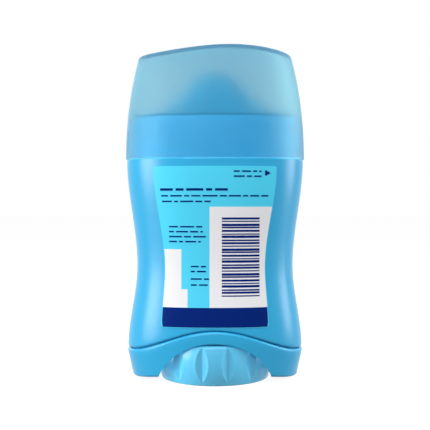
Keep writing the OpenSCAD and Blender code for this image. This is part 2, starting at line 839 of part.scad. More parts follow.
// The adhesive label with its fields of colour
module back_label() {
    zs = concat(
        [for (k = CORNER_SHARES) label_low_z + k * label_corner],
        [
            for (i = [1:LABEL_ROWS - 1])
                label_low_z + label_corner + (label_top_z - label_low_z - 2 * label_corner) * i / LABEL_ROWS
        ],
        [for (k = [2:-1:0]) label_top_z - CORNER_SHARES[k] * label_corner]
    );
    band_top_z = label_low_z + band_print_h;
    panel_top_z = band_top_z + panel_h;
    stripe_low_z = band_top_z + stripe_margin;
    stripe_pitch = (panel_h - 2 * stripe_margin) / stripes;
    color(CYAN)
        sheet(zs, [for (z = zs) -label_side(z)], [for (z = zs) label_side(z)], film_gap, film_t);
    color(NAVY)
        field(-label_top_w, label_top_w, label_low_z + print_in, band_top_z, BAND_ROWS);
    color(PAPER)
        field(panel_x, label_top_w, band_top_z + print_gap, panel_top_z, PANEL_ROWS);
    color(PAPER)
        field(
            -label_top_w,
            side_panel_w - label_mid_w / 2,
            band_top_z + print_gap,
            band_top_z + side_panel_h,
            SIDE_PANEL_ROWS
        );
    color(NAVY)
        for (i = [0:stripes - 1])
            let (
                z = stripe_low_z + stripe_pitch * (i + 0.5 + STRIPE_SHIFT * sin(i * STRIPE_TURN)),
                t = stripe_t * STRIPE_MIX[i % len(STRIPE_MIX)]
            )
                sheet(
                    [z - t / 2, z + t / 2],
                    [stripe_x, stripe_x],
                    [stripe_x + stripe_w, stripe_x + stripe_w],
                    film_t + ink_t + 3 * film_gap,
                    ink_t
                );
}

cap();
seal_dome();
stick();
elevator();
barrel();
base();
dial();
back_label();
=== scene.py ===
import math

import bpy
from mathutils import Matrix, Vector


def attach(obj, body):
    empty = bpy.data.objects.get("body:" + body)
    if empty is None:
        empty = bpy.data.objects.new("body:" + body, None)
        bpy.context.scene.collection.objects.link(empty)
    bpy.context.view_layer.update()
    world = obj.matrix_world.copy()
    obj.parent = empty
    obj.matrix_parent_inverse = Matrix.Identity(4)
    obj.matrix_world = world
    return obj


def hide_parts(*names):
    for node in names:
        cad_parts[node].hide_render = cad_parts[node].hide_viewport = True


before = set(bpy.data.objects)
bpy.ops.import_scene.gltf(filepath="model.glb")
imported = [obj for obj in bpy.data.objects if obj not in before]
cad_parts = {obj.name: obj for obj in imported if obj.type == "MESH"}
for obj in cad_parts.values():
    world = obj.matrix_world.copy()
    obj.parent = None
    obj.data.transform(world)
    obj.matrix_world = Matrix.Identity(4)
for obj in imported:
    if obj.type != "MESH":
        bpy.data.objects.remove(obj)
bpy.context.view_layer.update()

# Sizes in metres. One unit of the part's own drawing is a millimetre.
MM = 0.001

# The camera stands level. A pixel of the photograph covers this width at the pack's middle.
# The sensor's width alone is in millimetres.
CAMERA_DISTANCE = 260 * MM
CAMERA_HEIGHT = 53.3 * MM
PHOTO_SIDE = 430
PIXEL = 0.3135 * MM
FRAME_WIDTH = PHOTO_SIDE * PIXEL
SENSOR = 36

# The photograph's pixel on the pack's middle line, level with the camera
MIDLINE_PIXEL_X = 215.3
LEVEL_PIXEL_Y = 205
CAMERA_SHIFT = (LEVEL_PIXEL_Y - PHOTO_SIDE / 2) / PHOTO_SIDE

# Fullness of the pack's ovals: 2 is an ellipse, and more is squarer
FULLNESS = 2.35

# Base
SEAM_W = 54.2 * MM
SEAM_D = 33.6 * MM
SEAM_SIDE_Z = 9.4 * MM
SEAM_TOP_Z = 16.05 * MM
WAVE_POWER = 1.55
FOOT_W = 51.2 * MM
FOOT_D = 32.6 * MM
FOOT_Z = 0.9 * MM
FOOT_RISE = 2.1 * MM
FOOT_R = 0.8 * MM
LIP_R = 0.9 * MM
SKIRT_WALL = 1.2 * MM
SPIGOT_WALL = 1.1 * MM
SPIGOT_TOP_Z = 18.05 * MM
SPIGOT_IN = 1.32 * MM
FLOOR_Z = 12.6 * MM
FLOOR_T = 1.5 * MM
ARCH_W = 34.2 * MM
ARCH_TOP_Z = 12.4 * MM
ARCH_SIDE = 2.3
ARCH_TOP = 0.69
ARCH_FOOT_Z = 2.0 * MM
ARCH_FOOT_R = 0.6 * MM
ARCH_JOIN = 0.05 * MM
JOURNAL_HOLE_R = 5.08 * MM

# Barrel
WAIST_W = 48.5 * MM
WAIST_D = 30.4 * MM
WAIST_Z = 34.8 * MM

# Dial
DIAL_R = 17.6 * MM
DIAL_H = 11.8 * MM
DIAL_BULGE = 0.9 * MM
BULGE_Z = 6.3 * MM
DIAL_FOOT_R = 0.5 * MM
DIAL_TOP_R = 1.1 * MM
DIAL_GAP = 0.3 * MM
POCKET_R = 14.38 * MM
WEB_T = 1.6 * MM
BOSS_R = 7.5 * MM
BOSS_TOP_Z = 12.5 * MM
JOURNAL_R = 5.0 * MM
COLLAR_Z = 14.2 * MM
COLLAR_H = 1.2 * MM
COLLAR_OUT = 0.5 * MM
SCREW_R = 4.0 * MM
SCREW_ROOT_R = 3.3 * MM
SCREW_TIP_Z = 75.0 * MM
TIP_CHAMFER = SCREW_ROOT_R / 4

# The screw's thread. Its crest covers this stretch of its width, and it stays clear of collar and tip.
THREAD_LEAD = 4.0 * MM
THREAD_W = 1.5 * MM
THREAD_CREST = (0.55 * MM, 0.95 * MM)
THREAD_SINK = 0.1 * MM
THREAD_START = 1.0 * MM
THREAD_STOP = 2.0 * MM

# Flutes of the dial. The last two are half angles: the least that is drawn, and where the lip is full.
FLUTES = 14
FLUTE_DEPTH = 0.72 * MM
FLUTE_W = 3.9 * MM
FLUTE_LIP = 0.06 * MM
FLUTE_LEAST = 0.0005
FLUTE_LIP_FULL = 0.05

# Label. The band's height goes up from the label's lower edge, and the panels' from the top of the band.
LABEL_LOW_Z = 17.1 * MM
LABEL_TOP_Z = 64.8 * MM
LABEL_TOP_W = 36.6 * MM
LABEL_MID_W = 29.9 * MM
LABEL_LOW_W = 31.8 * MM
LABEL_CORNER = 0.6 * MM
LABEL_LIFT = 0.04 * MM
LABEL_T = 0.1 * MM
PRINT_IN = 0.15 * MM
PRINT_LIFT = 0.15 * MM
MARK_LIFT = PRINT_LIFT + 0.03 * MM
INK_T = 0.02 * MM
BAND_H = 5.9 * MM
BAND_TOP_Z = LABEL_LOW_Z + BAND_H
PANEL_GAP = 0.05 * MM
PANEL_H = 29.8 * MM
PANEL_LEFT_X = -1.6 * MM
SIDE_PANEL_H = 17.2 * MM
SIDE_PANEL_X = -9.95 * MM
FOOT_PANEL_H = 5.4 * MM
FOOT_PANEL_X = -8.1 * MM

# Stripes in the right panel. The mix is their thicknesses in turn, and the drift moves them off their pitch.
STRIPES = 26
STRIPE_MARGIN = 3.0 * MM
STRIPE_LEFT_X = 2.0 * MM
STRIPE_RIGHT_X = 13.2 * MM
STRIPE_T = 0.36 * MM
STRIPE_MIX = (1, 1.7, 1.35, 2)
STRIPE_DRIFT = 0.1
STRIPE_TURN = 137

# Flat sheets start this far in front, in cells of about this size, before they are wrapped on the barrel
SHEET_Y = -CAMERA_DISTANCE / 4
CELL_W = 1.2 * MM
CELL_H = 1.5 * MM

# A field that reaches this far sideways is cut off by the label's edge
PAST_EDGE = 1

# The label's distance in front of the pack's middle, for what is placed by the photograph's pixels
LABEL_NEAR = 16 * MM

# Rows of plain bars, in pixels: left, right, top, height, the bars' lengths in turn and the space between
BAR_ROWS = (
    (234, 262, 170.4, 1.5, (6, 9, 4), 2.2),
    (234, 262, 175.4, 1.5, (11, 5, 8), 2.2),
    (160, 228, 188.2, 2.4, (13, 8, 17, 6), 2.8),
    (161, 269, 195.0, 1.5, (7, 12, 5, 9, 15), 2.2),
    (162, 211, 200.6, 1.5, (10, 4, 13, 7), 2.2),
    (169, 205, 226, 1.5, (9, 14, 6), 2.2),
    (169, 203, 231, 1.5, (5, 12, 8), 2.2),
    (169, 206, 236, 1.5, (13, 7), 2.2),
    (169, 201, 241, 1.5, (8, 4, 11), 2.2),
    (191, 209, 266, 1.5, (8, 5), 2.2),
    (191, 207, 271, 1.5, (4, 9), 2.2),
    (191, 210, 278.5, 1.5, (11, 5), 2.2),
    (191, 208, 284.5, 1.5, (6, 9), 2.2),
)
SHORTEST_BAR = 1

# The arrowhead, in pixels. Its rows get shorter by this step, away from the middle one.
ARROW_LEFT = 265.6
ARROW_TIP = 271.2
ARROW_TOP = 170.3
ARROW_ROWS = 5
ARROW_ROW_H = 1.05
ARROW_STEP = 1.7

# Steps of the drawn pieces
BASE_SIDES = 224
FOOT_STEPS = 4
LIP_STEPS = 6
SKIRT_STEPS = 6
ARCH_POINTS = 96
ARCH_FOOT_STEPS = 6
DIAL_SPACE_SIDES = 128
HOLE_SIDES = 96
FLUTE_STEPS = 8
RIM_STEPS = 28
EDGE_STEPS = 6
HALVINGS = 30
THREAD_STEPS = 40
FILM_COLUMNS = 48
FILM_ROWS = 120

# Rounded edges, the angles in degrees past which an edge is rounded, and the smoothing of the shells
SHELL_EDGE = 0.2 * MM
THIN_EDGE = 0.15 * MM
DIAL_EDGE = 0.2 * MM
EDGE_SEGMENTS = 3
SHELL_CREASE = 38
DIAL_CREASE = 13
SMOOTH_LEVELS = 2
MERGE_WITHIN = 0.002 * MM

# Cutters reach this far past what they cut
CUT_PAST = 1.0 * MM

# Colours as the eye sees them, 0 to 255
PACK_BLUE = (24, 161, 210)
DIAL_BLUE = (80, 180, 218)
SEAL_BLUE = (0, 138, 176)
CAP_FROST = (190, 215, 226)
LABEL_CYAN = (80, 208, 241)
LABEL_NAVY = (0, 34, 112)
LABEL_WHITE = (232, 232, 235)
STICK_WHITE = (229, 229, 222)
NATURAL_PLASTIC = (222, 230, 234)

# Light in the plastic: the dial's glow and reach, and the cap's bend, tint by depth and tint of its shadow
DIAL_GLOW = 0.3
DIAL_GLOW_REACH = 3 * MM
CAP_IOR = 1.31
CAP_TINT = (0.22, 0.66, 0.81, 1)
CAP_TINT_DENSITY = 170.0
CAP_SHADOW = (0.7, 0.86, 0.66, 1)

# Height of the plastic's grain at full depth
GRAIN_HEIGHT = 0.02 * MM

# World and floor. The floor gives back the bounce colour, and is seen as its glow with the shade on it.
WHITE = (1, 1, 1, 1)
AMBIENT = 0.42
FLOOR_BOUNCE = (0.15, 0.15, 0.15, 1)
FLOOR_SHADE = (0.18, 0.18, 0.18, 1)
FLOOR_GLOW = 0.91
FLOOR_SIDE = 8
FLOOR_DROP = 0.02 * MM

# Lamps: name, place, width, height and watts. The dial's two reach the dial's wheel alone.
PACK_MIDDLE = (0, 0, 0.05)
LAMPS = (
    ("key_left", (-0.47, -0.22, 0.15), 0.26, 0.42, 3.0),
    ("strip_right", (0.41, -0.02, 0.2), 0.18, 0.4, 1.5),
    ("top_front", (-0.03, -0.26, 0.58), 0.5, 0.4, 1.4),
    ("front_high", (-0.12, -0.6, 0.36), 0.2, 0.12, 0.8),
    ("back_left", (-0.3, 0.42, 0.3), 0.3, 0.4, 0.65),
    ("back_right", (0.36, 0.36, 0.3), 0.25, 0.4, 0.35),
)
DIAL_MIDDLE = (0, 0, DIAL_H / 2)
DIAL_LAMPS = (
    ("dial_left", (-0.45, 0, 0.05), 0.2, 0.2, 1.6),
    ("dial_right", (0.45, 0, 0.05), 0.2, 0.2, 1.2),
)

scene = bpy.context.scene


def pick(*pieces):
    """Leaves only these pieces selected, the last one active."""
    bpy.ops.object.select_all(action="DESELECT")
    for piece in pieces:
        piece.select_set(True)
        bpy.context.view_layer.objects.active = piece


def apply_modifier(piece, kind, **settings):
    """Adds a modifier to the piece and applies it."""
    pick(piece)
    modifier = piece.modifiers.new(kind.lower(), kind)
    for key, value in settings.items():
        setattr(modifier, key, value)
    bpy.ops.object.modifier_apply(modifier=modifier.name)


def ease(t):
    """A smooth step from 0 to 1."""
    u = max(0.0, min(1.0, t))
    return u * u * (3 - 2 * u)


def power(value, exponent):
    """A power that keeps the sign."""
    return math.copysign(abs(value) ** exponent, value)


def oval(angle):
    """Point of an oval at this angle, on a half width and half depth of 1."""
    return power(math.cos(angle), 2 / FULLNESS), power(math.sin(angle), 2 / FULLNESS)


def seam_z(angle):
    """Height of the wave-shaped joint between base and barrel."""
    across = abs(oval(angle)[0])
    return SEAM_SIDE_Z + (SEAM_TOP_Z - SEAM_SIDE_Z) * math.cos(math.pi / 2 * across) ** WAVE_POWER


def foot_z(angle):
    """Height of the feet's undersides, which rise towards the arches."""
    return FOOT_Z + FOOT_RISE * abs(oval(angle)[1]) ** 3


def waisted(z, waist, low):
    """Width or depth of the barrel at height z, between waist and joint."""
    return waist + (low - waist) * ease((WAIST_Z - z) / (WAIST_Z - SEAM_SIDE_Z))


def finish_piece(piece, node, body, sharp=40):
    """Smooth shading, and the piece's place in the model."""
    pick(piece)
    bpy.ops.object.shade_smooth_by_angle(angle=math.radians(sharp))
    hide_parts(node)
    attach(piece, body)


def smooth_copy(node, name, edge, body):
    """A copy of a CAD node with its facets joined into quads, its edges rounded, and subdivided."""
    piece = bpy.data.objects.new(name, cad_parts[node].data.copy())
    scene.collection.objects.link(piece)
    pick(piece)
    bpy.ops.object.mode_set(mode="EDIT")
    bpy.ops.mesh.select_mode(type="EDGE")
    bpy.ops.mesh.select_all(action="SELECT")
    bpy.ops.mesh.remove_doubles(threshold=MERGE_WITHIN)
    bpy.ops.mesh.tris_convert_to_quads(face_threshold=math.radians(30), shape_threshold=math.radians(60))
    bpy.ops.object.mode_set(mode="OBJECT")
    apply_modifier(piece, "BEVEL", width=edge, segments=EDGE_SEGMENTS, limit_method="ANGLE",
                   angle_limit=math.radians(SHELL_CREASE))
    apply_modifier(piece, "SUBSURF", levels=SMOOTH_LEVELS, render_levels=SMOOTH_LEVELS)
    finish_piece(piece, node, body)
    return piece


def drawn_tube(name, sides, rings, ends):
    """A tube drawn up from a circle, one extrusion for each ring, then set to the rings' outlines.

    Its ends are filled, or bridged with each other where the section is closed.
    """
    bpy.ops.object.select_all(action="DESELECT")
    bpy.ops.mesh.primitive_circle_add(vertices=sides, radius=1,
                                      fill_type="NGON" if ends == "filled" else "NOTHING")
    piece = bpy.context.object
    piece.name = name
    bpy.ops.object.mode_set(mode="EDIT")
    bpy.ops.mesh.select_all(action="SELECT")
    for _ in rings[1:]:
        bpy.ops.mesh.extrude_region_move(TRANSFORM_OT_translate={"value": (0, 0, 1)})
    bpy.ops.object.mode_set(mode="OBJECT")
    for vertex in piece.data.vertices:
        ring = rings[round(vertex.co.z)]
        vertex.co = ring(math.atan2(vertex.co.y, vertex.co.x))
    bpy.ops.object.mode_set(mode="EDIT")
    bpy.ops.mesh.select_mode(type="EDGE")
    if ends == "bridged":
        bpy.ops.mesh.select_all(action="DESELECT")
        bpy.ops.mesh.select_non_manifold(extend=False, use_boundary=True)
        bpy.ops.mesh.bridge_edge_loops()
    bpy.ops.mesh.select_all(action="SELECT")
    bpy.ops.mesh.normals_make_consistent(inside=False)
    bpy.ops.object.mode_set(mode="OBJECT")
    return piece


def cut(piece, cutter, operation="DIFFERENCE"):
    """Cuts the cutter out of the piece, or joins it on, and removes the cutter."""
    apply_modifier(piece, "BOOLEAN", object=cutter, operation=operation, solver="EXACT")
    bpy.data.objects.remove(cutter)


def oval_ring(half_w, half_d, height):
    """A ring on the oval, level or at a height that changes with the angle."""
    def point(angle):
        x, y = oval(angle)
        return half_w * x, half_d * y, height(angle) if callable(height) else height
    return point


def round_ring(radius, z):
    """A level, round ring."""
    def point(angle):
        return radius * math.cos(angle), radius * math.sin(angle), z
    return point


def base_rings():
    """The base's section from the foot up outside, over the lip and spigot, and down inside."""
    def foot(turn):
        inset = FOOT_R * (1 - math.sin(turn))
        up = FOOT_R * (1 - math.cos(turn))
        return oval_ring(FOOT_W / 2 - inset, FOOT_D / 2 - inset, lambda angle: foot_z(angle) + up)

    def skirt(share):
        def point(angle):
            x, y = oval(angle)
            w = FOOT_W + share * (SEAM_W - FOOT_W)
            d = FOOT_D + share * (SEAM_D - FOOT_D)
            low = foot_z(angle) + FOOT_R
            return w / 2 * x, d / 2 * y, low + share * (seam_z(angle) - LIP_R - low)
        return point

    def lip(turn):
        inset = LIP_R * (1 - math.cos(turn))
        down = LIP_R * (1 - math.sin(turn))
        return oval_ring(SEAM_W / 2 - inset, SEAM_D / 2 - inset, lambda angle: seam_z(angle) - down)

    def spigot(share):
        def point(angle):
            x, y = oval(angle)
            z = seam_z(angle) + share * (SPIGOT_TOP_Z - seam_z(angle))
            half_w = waisted(z, WAIST_W, SEAM_W) / 2 - SPIGOT_IN
            half_d = waisted(z, WAIST_D, SEAM_D) / 2 - SPIGOT_IN
            return half_w * x, half_d * y, z
        return point

    rings = [foot(math.pi / 2 * i / FOOT_STEPS) for i in range(FOOT_STEPS + 1)]
    rings += [skirt(i / SKIRT_STEPS) for i in range(1, SKIRT_STEPS + 1)]
    rings += [lip(math.pi / 2 * i / LIP_STEPS) for i in range(1, LIP_STEPS + 1)]
    rings += [spigot(share) for share in (0, 0.5, 1)]
    in_w = waisted(SPIGOT_TOP_Z, WAIST_W, SEAM_W) / 2 - SPIGOT_IN - SPIGOT_WALL
    in_d = waisted(SPIGOT_TOP_Z, WAIST_D, SEAM_D) / 2 - SPIGOT_IN - SPIGOT_WALL
    rings.append(oval_ring(in_w, in_d, SPIGOT_TOP_Z))
    rings.append(oval_ring(in_w, in_d, FLOOR_Z))
    rings.append(oval_ring(FOOT_W / 2 - SKIRT_WALL, FOOT_D / 2 - SKIRT_WALL, foot_z))
    return rings, in_w, in_d


def arch_cutter():
    """A prism of the arch's outline through front and back, its feet flared by their rounding."""
    height = ARCH_TOP_Z - FOOT_Z
    foot_top = ARCH_FOOT_Z + ARCH_FOOT_R
    foot_x = ARCH_W / 2 * (1 - ((foot_top - FOOT_Z) / height) ** (1 / ARCH_TOP)) ** (1 / ARCH_SIDE)
    left = [(-foot_x - ARCH_FOOT_R, FOOT_Z - CUT_PAST)]
    for i in range(ARCH_FOOT_STEPS + 1):
        turn = math.pi / 2 * i / ARCH_FOOT_STEPS
        left.append((-foot_x - ARCH_FOOT_R * (1 - math.sin(turn)),
                     ARCH_FOOT_Z + ARCH_FOOT_R * (1 - math.cos(turn))))
    arch = []
    for i in range(1, ARCH_POINTS):
        u = -math.cos(math.pi * i / ARCH_POINTS)
        z = FOOT_Z + height * (1 - abs(u) ** ARCH_SIDE) ** ARCH_TOP
        if z > foot_top + ARCH_JOIN:
            arch.append((u * ARCH_W / 2, z))
    outline = left + arch + [(-x, z) for x, z in reversed(left)]
    bpy.ops.object.select_all(action="DESELECT")
    bpy.ops.mesh.primitive_circle_add(vertices=len(outline), radius=1, fill_type="NGON")
    cutter = bpy.context.object
    for vertex, (x, z) in zip(cutter.data.vertices, outline):
        vertex.co = (x, -SEAM_D, z)
    bpy.ops.object.mode_set(mode="EDIT")
    bpy.ops.mesh.select_all(action="SELECT")
    bpy.ops.mesh.extrude_region_move(TRANSFORM_OT_translate={"value": (0, 2 * SEAM_D, 0)})
    bpy.ops.mesh.select_all(action="SELECT")
    bpy.ops.mesh.normals_make_consistent(inside=False)
    bpy.ops.object.mode_set(mode="OBJECT")
    return cutter


def rim_radius(z):
    """Radius of the dial's bulging rim at height z."""
    reach = BULGE_Z - DIAL_FOOT_R
    arc = (reach ** 2 + DIAL_BULGE ** 2) / (2 * DIAL_BULGE)
    return DIAL_R - arc + math.sqrt(arc ** 2 - (z - BULGE_Z) ** 2)


def rim_profile(grow):
    """The rim's section from the underside to the top face, as radius and height, grown outwards."""
    top_z = DIAL_H - DIAL_TOP_R
    foot_x = rim_radius(DIAL_FOOT_R)
    top_x = rim_radius(top_z)
    profile = []
    for i in range(EDGE_STEPS):
        turn = math.pi / 2 * i / EDGE_STEPS
        profile.append((foot_x - DIAL_FOOT_R + (DIAL_FOOT_R + grow) * math.sin(turn),
                        DIAL_FOOT_R - (DIAL_FOOT_R + grow) * math.cos(turn)))
    for i in range(RIM_STEPS + 1):
        z = DIAL_FOOT_R + (top_z - DIAL_FOOT_R) * i / RIM_STEPS
        profile.append((rim_radius(z) + grow, z))
    for i in range(1, 2 * EDGE_STEPS + 1):
        turn = math.pi / 2 * i / (2 * EDGE_STEPS)
        profile.append((top_x - DIAL_TOP_R + (DIAL_TOP_R + grow) * math.cos(turn),
                        top_z + (DIAL_TOP_R + grow) * math.sin(turn)))
    return profile


def fluted_ring(radius, z):
    """A ring of the rim with its grooves, whose corners run along the lipped edges of the leaf shapes."""
    sag = DIAL_R - math.sqrt(DIAL_R ** 2 - FLUTE_W ** 2 / 4)
    slope = (FLUTE_DEPTH - sag) / (FLUTE_W / 2)
    bottom = DIAL_R - FLUTE_DEPTH
    low, high = 0.0, FLUTE_W / DIAL_R
    for _ in range(HALVINGS):
        middle = (low + high) / 2
        if bottom / (math.cos(middle) - slope * math.sin(middle)) < radius:
            low = middle
        else:
            high = middle
    half = max(low, FLUTE_LEAST)
    lip = FLUTE_LIP * min(1, half / FLUTE_LIP_FULL)
    pitch = 2 * math.pi / FLUTES

    def point(angle):
        step = round((angle + math.pi / 2) / pitch * 2 * FLUTE_STEPS)
        flute, place = divmod(step, 2 * FLUTE_STEPS)
        if place <= FLUTE_STEPS:
            off = half * (2 * place / FLUTE_STEPS - 1)
            r = min(radius, bottom / (math.cos(off) - slope * abs(math.sin(off))))
        else:
            off = half + (pitch - 2 * half) * (place - FLUTE_STEPS) / FLUTE_STEPS
            r = radius
        if place in (0, FLUTE_STEPS):
            r += lip
        turn = off + (flute + 0.5) * pitch - math.pi / 2
        return r * math.cos(turn), r * math.sin(turn), z
    return point


def make_wheel():
    """Wheel, boss, journal, collar and screw, turned in one piece."""
    rings = [fluted_ring(radius, z) for radius, z in rim_profile(0)]
    for radius, z in (
        (POCKET_R, DIAL_H),
        (POCKET_R, WEB_T),
        (BOSS_R, WEB_T),
        (BOSS_R, BOSS_TOP_Z),
        (JOURNAL_R, BOSS_TOP_Z),
        (JOURNAL_R, COLLAR_Z),
        (JOURNAL_R + COLLAR_OUT, COLLAR_Z),
        (JOURNAL_R - COLLAR_OUT, COLLAR_Z + COLLAR_H),
        (SCREW_ROOT_R, COLLAR_Z + COLLAR_H),
        (SCREW_ROOT_R, SCREW_TIP_Z - TIP_CHAMFER),
        (SCREW_ROOT_R - TIP_CHAMFER, SCREW_TIP_Z),
    ):
        rings.append(round_ring(radius, z))
    dial = drawn_tube("dial_wheel", 2 * FLUTES * FLUTE_STEPS, rings, "filled")
    apply_modifier(dial, "BEVEL", width=DIAL_EDGE, segments=EDGE_SEGMENTS, limit_method="ANGLE",
                   angle_limit=math.radians(DIAL_CREASE))
    finish_piece(dial, "dial", "dial", sharp=30)
    return dial


def make_thread():
    """The screw's thread: its section wound up the screw, its foot a little inside the screw's root."""
    bpy.ops.object.select_all(action="DESELECT")
    bpy.ops.mesh.primitive_circle_add(vertices=4, radius=1, fill_type="NOTHING")
    thread = bpy.context.object
    thread.name = "dial_thread"
    low_z = COLLAR_Z + COLLAR_H + THREAD_START
    foot_r = SCREW_ROOT_R - THREAD_SINK
    crest_low, crest_high = THREAD_CREST
    section = ((foot_r, 0), (SCREW_R, crest_low), (SCREW_R, crest_high), (foot_r, THREAD_W))
    for vertex, (radius, up) in zip(thread.data.vertices, section):
        vertex.co = (radius, 0, low_z + up)
    turns = int((SCREW_TIP_Z - THREAD_STOP - low_z) / THREAD_LEAD)
    apply_modifier(thread, "SCREW", axis="Z", angle=2 * math.pi, screw_offset=THREAD_LEAD, iterations=turns,
                   steps=THREAD_STEPS, render_steps=THREAD_STEPS)
    bpy.ops.object.mode_set(mode="EDIT")
    bpy.ops.mesh.select_all(action="SELECT")
    bpy.ops.mesh.fill_holes(sides=4)
    bpy.ops.mesh.normals_make_consistent(inside=False)
    bpy.ops.object.mode_set(mode="OBJECT")
    finish_piece(thread, "dial", "dial", sharp=30)
    return thread


def make_base():
    """The skirt with its floor, cut by the arches, by the dial's space and by the hole for its journal."""
    rings, in_w, in_d = base_rings()
    base = drawn_tube("base_skirt", BASE_SIDES, rings, "bridged")
    floor_w, floor_d = in_w + SPIGOT_WALL / 2, in_d + SPIGOT_WALL / 2
    floor = drawn_tube("base_floor", BASE_SIDES, [oval_ring(floor_w, floor_d, FLOOR_Z),
                                                  oval_ring(floor_w, floor_d, FLOOR_Z + FLOOR_T)], "filled")
    cut(base, floor, "UNION")
    cut(base, arch_cutter())
    swept = [round_ring(radius, z) for radius, z in rim_profile(DIAL_GAP)]
    cut(base, drawn_tube("dial_space", DIAL_SPACE_SIDES, swept, "filled"))
    hole = [round_ring(JOURNAL_HOLE_R, FLOOR_Z - CUT_PAST),
            round_ring(JOURNAL_HOLE_R, FLOOR_Z + FLOOR_T + CUT_PAST)]
    cut(base, drawn_tube("journal_hole", HOLE_SIDES, hole, "filled"))
    finish_piece(base, "base", "barrel", sharp=32)
    return base


def label_half(z):
    """Half width of the label at height z, with its rounded corners."""
    if z >= WAIST_Z:
        width = LABEL_MID_W + (LABEL_TOP_W - LABEL_MID_W) * ease((z - WAIST_Z) / (LABEL_TOP_Z - WAIST_Z))
    else:
        width = LABEL_MID_W + (LABEL_LOW_W - LABEL_MID_W) * ease((WAIST_Z - z) / (WAIST_Z - LABEL_LOW_Z))
    edge = max(0.0, min(LABEL_CORNER, z - LABEL_LOW_Z, LABEL_TOP_Z - z))
    back = LABEL_CORNER - edge
    return width / 2 - LABEL_CORNER + math.sqrt(max(0.0, LABEL_CORNER ** 2 - back ** 2))


def wrap(sheet, barrel, lift, thickness):
    """Lays a flat sheet on the barrel's label side and gives it its thickness."""
    apply_modifier(sheet, "SHRINKWRAP", target=barrel, wrap_method="PROJECT", use_project_y=True,
                   use_positive_direction=True, use_negative_direction=True, use_project_x=False,
                   offset=lift)
    apply_modifier(sheet, "SOLIDIFY", thickness=thickness, offset=1)


def make_film(barrel):
    """The label's film: a grid set to the label's outline and wrapped on the barrel."""
    bpy.ops.object.select_all(action="DESELECT")
    bpy.ops.mesh.primitive_grid_add(x_subdivisions=FILM_COLUMNS, y_subdivisions=FILM_ROWS, size=2)
    label = bpy.context.object
    label.name = "label_film"
    half_h = (LABEL_TOP_Z - LABEL_LOW_Z) / 2
    for vertex in label.data.vertices:
        u, v = vertex.co.x, vertex.co.y
        z = LABEL_LOW_Z + half_h * (1 + math.sin(math.pi / 2 * v))
        vertex.co = (u * label_half(z), SHEET_Y, z)
    wrap(label, barrel, LABEL_LIFT, LABEL_T)
    finish_piece(label, "back_label", "barrel")
    return label


def field(x0, x1, z0, z1):
    """One flat field of print in front of the pack, kept inside the label's edge."""
    columns = max(1, round((x1 - x0) / CELL_W))
    rows = max(1, round((z1 - z0) / CELL_H))
    bpy.ops.object.select_all(action="DESELECT")
    bpy.ops.mesh.primitive_grid_add(x_subdivisions=columns, y_subdivisions=rows, size=1)
    piece = bpy.context.object
    for vertex in piece.data.vertices:
        z = z0 + (vertex.co.y + 0.5) * (z1 - z0)
        limit = label_half(z) - PRINT_IN
        low, high = max(x0, -limit), min(x1, limit)
        vertex.co = (low + (vertex.co.x + 0.5) * (high - low), SHEET_Y, z)
    return piece


def make_print(name, fields, barrel, lift):
    """Fields of one colour of print, joined in one sheet."""
    pieces = [field(*place) for place in fields]
    pick(*pieces)
    if len(pieces) > 1:
        bpy.ops.object.join()
    sheet = bpy.context.object
    sheet.name = name
    wrap(sheet, barrel, lift, INK_T)
    finish_piece(sheet, "back_label", "barrel")
    return sheet


def seen(x, y):
    """Place on the label, across and up, of a point read off the photograph."""
    scale = PIXEL * (1 - LABEL_NEAR / CAMERA_DISTANCE)
    return (x - MIDLINE_PIXEL_X) * scale, CAMERA_HEIGHT - (y - LEVEL_PIXEL_Y) * scale


def seen_field(left, top, right, bottom):
    """A field of print whose edges are pixels of the photograph."""
    x0, z1 = seen(left, top)
    x1, z0 = seen(right, bottom)
    return x0, x1, z0, z1


def bar_row(left, right, top, height, lengths, space):
    """A row of plain bars, whose lengths are taken in turn."""
    fields = []
    x = left
    i = 0
    while x < right - SHORTEST_BAR:
        end = min(right, x + lengths[i % len(lengths)])
        fields.append(seen_field(x, top, end, top + height))
        x = end + space
        i += 1
    return fields


def stripe_fields():
    """Uneven stripes, as the part's own drawing has them."""
    pitch = (PANEL_H - 2 * STRIPE_MARGIN) / STRIPES
    fields = []
    for i in range(STRIPES):
        drift = STRIPE_DRIFT * math.sin(math.radians(i * STRIPE_TURN))
        z = BAND_TOP_Z + STRIPE_MARGIN + pitch * (i + 0.5 + drift)
        t = STRIPE_T * STRIPE_MIX[i % len(STRIPE_MIX)]
        fields.append((STRIPE_LEFT_X, STRIPE_RIGHT_X, z - t / 2, z + t / 2))
    return fields


def arrow_fields():
    """A small plain arrowhead, as stacked bars."""
    fields = []
    for i in range(ARROW_ROWS):
        top = ARROW_TOP + i
        tip = ARROW_TIP - ARROW_STEP * abs(i - ARROW_ROWS // 2)
        fields.append(seen_field(ARROW_LEFT, top, tip, top + ARROW_ROW_H))
    return fields


def make_label(barrel):
    """The label's film and its print: the navy band, the white panels and the small dark marks."""
    film = make_film(barrel)
    band_field = (-PAST_EDGE, PAST_EDGE, LABEL_LOW_Z + PRINT_IN, BAND_TOP_Z)
    band = make_print("label_band", [band_field], barrel, PRINT_LIFT)
    low_z = BAND_TOP_Z + PANEL_GAP
    panels = make_print("label_panels", [
        (PANEL_LEFT_X, PAST_EDGE, low_z, BAND_TOP_Z + PANEL_H),
        (-PAST_EDGE, SIDE_PANEL_X, low_z, BAND_TOP_Z + SIDE_PANEL_H),
        (SIDE_PANEL_X, FOOT_PANEL_X, low_z, BAND_TOP_Z + FOOT_PANEL_H),
    ], barrel, PRINT_LIFT)
    bars = [bar for row in BAR_ROWS for bar in bar_row(*row)]
    marks = make_print("label_marks", stripe_fields() + bars + arrow_fields(), barrel, MARK_LIFT)
    return film, band, panels, marks


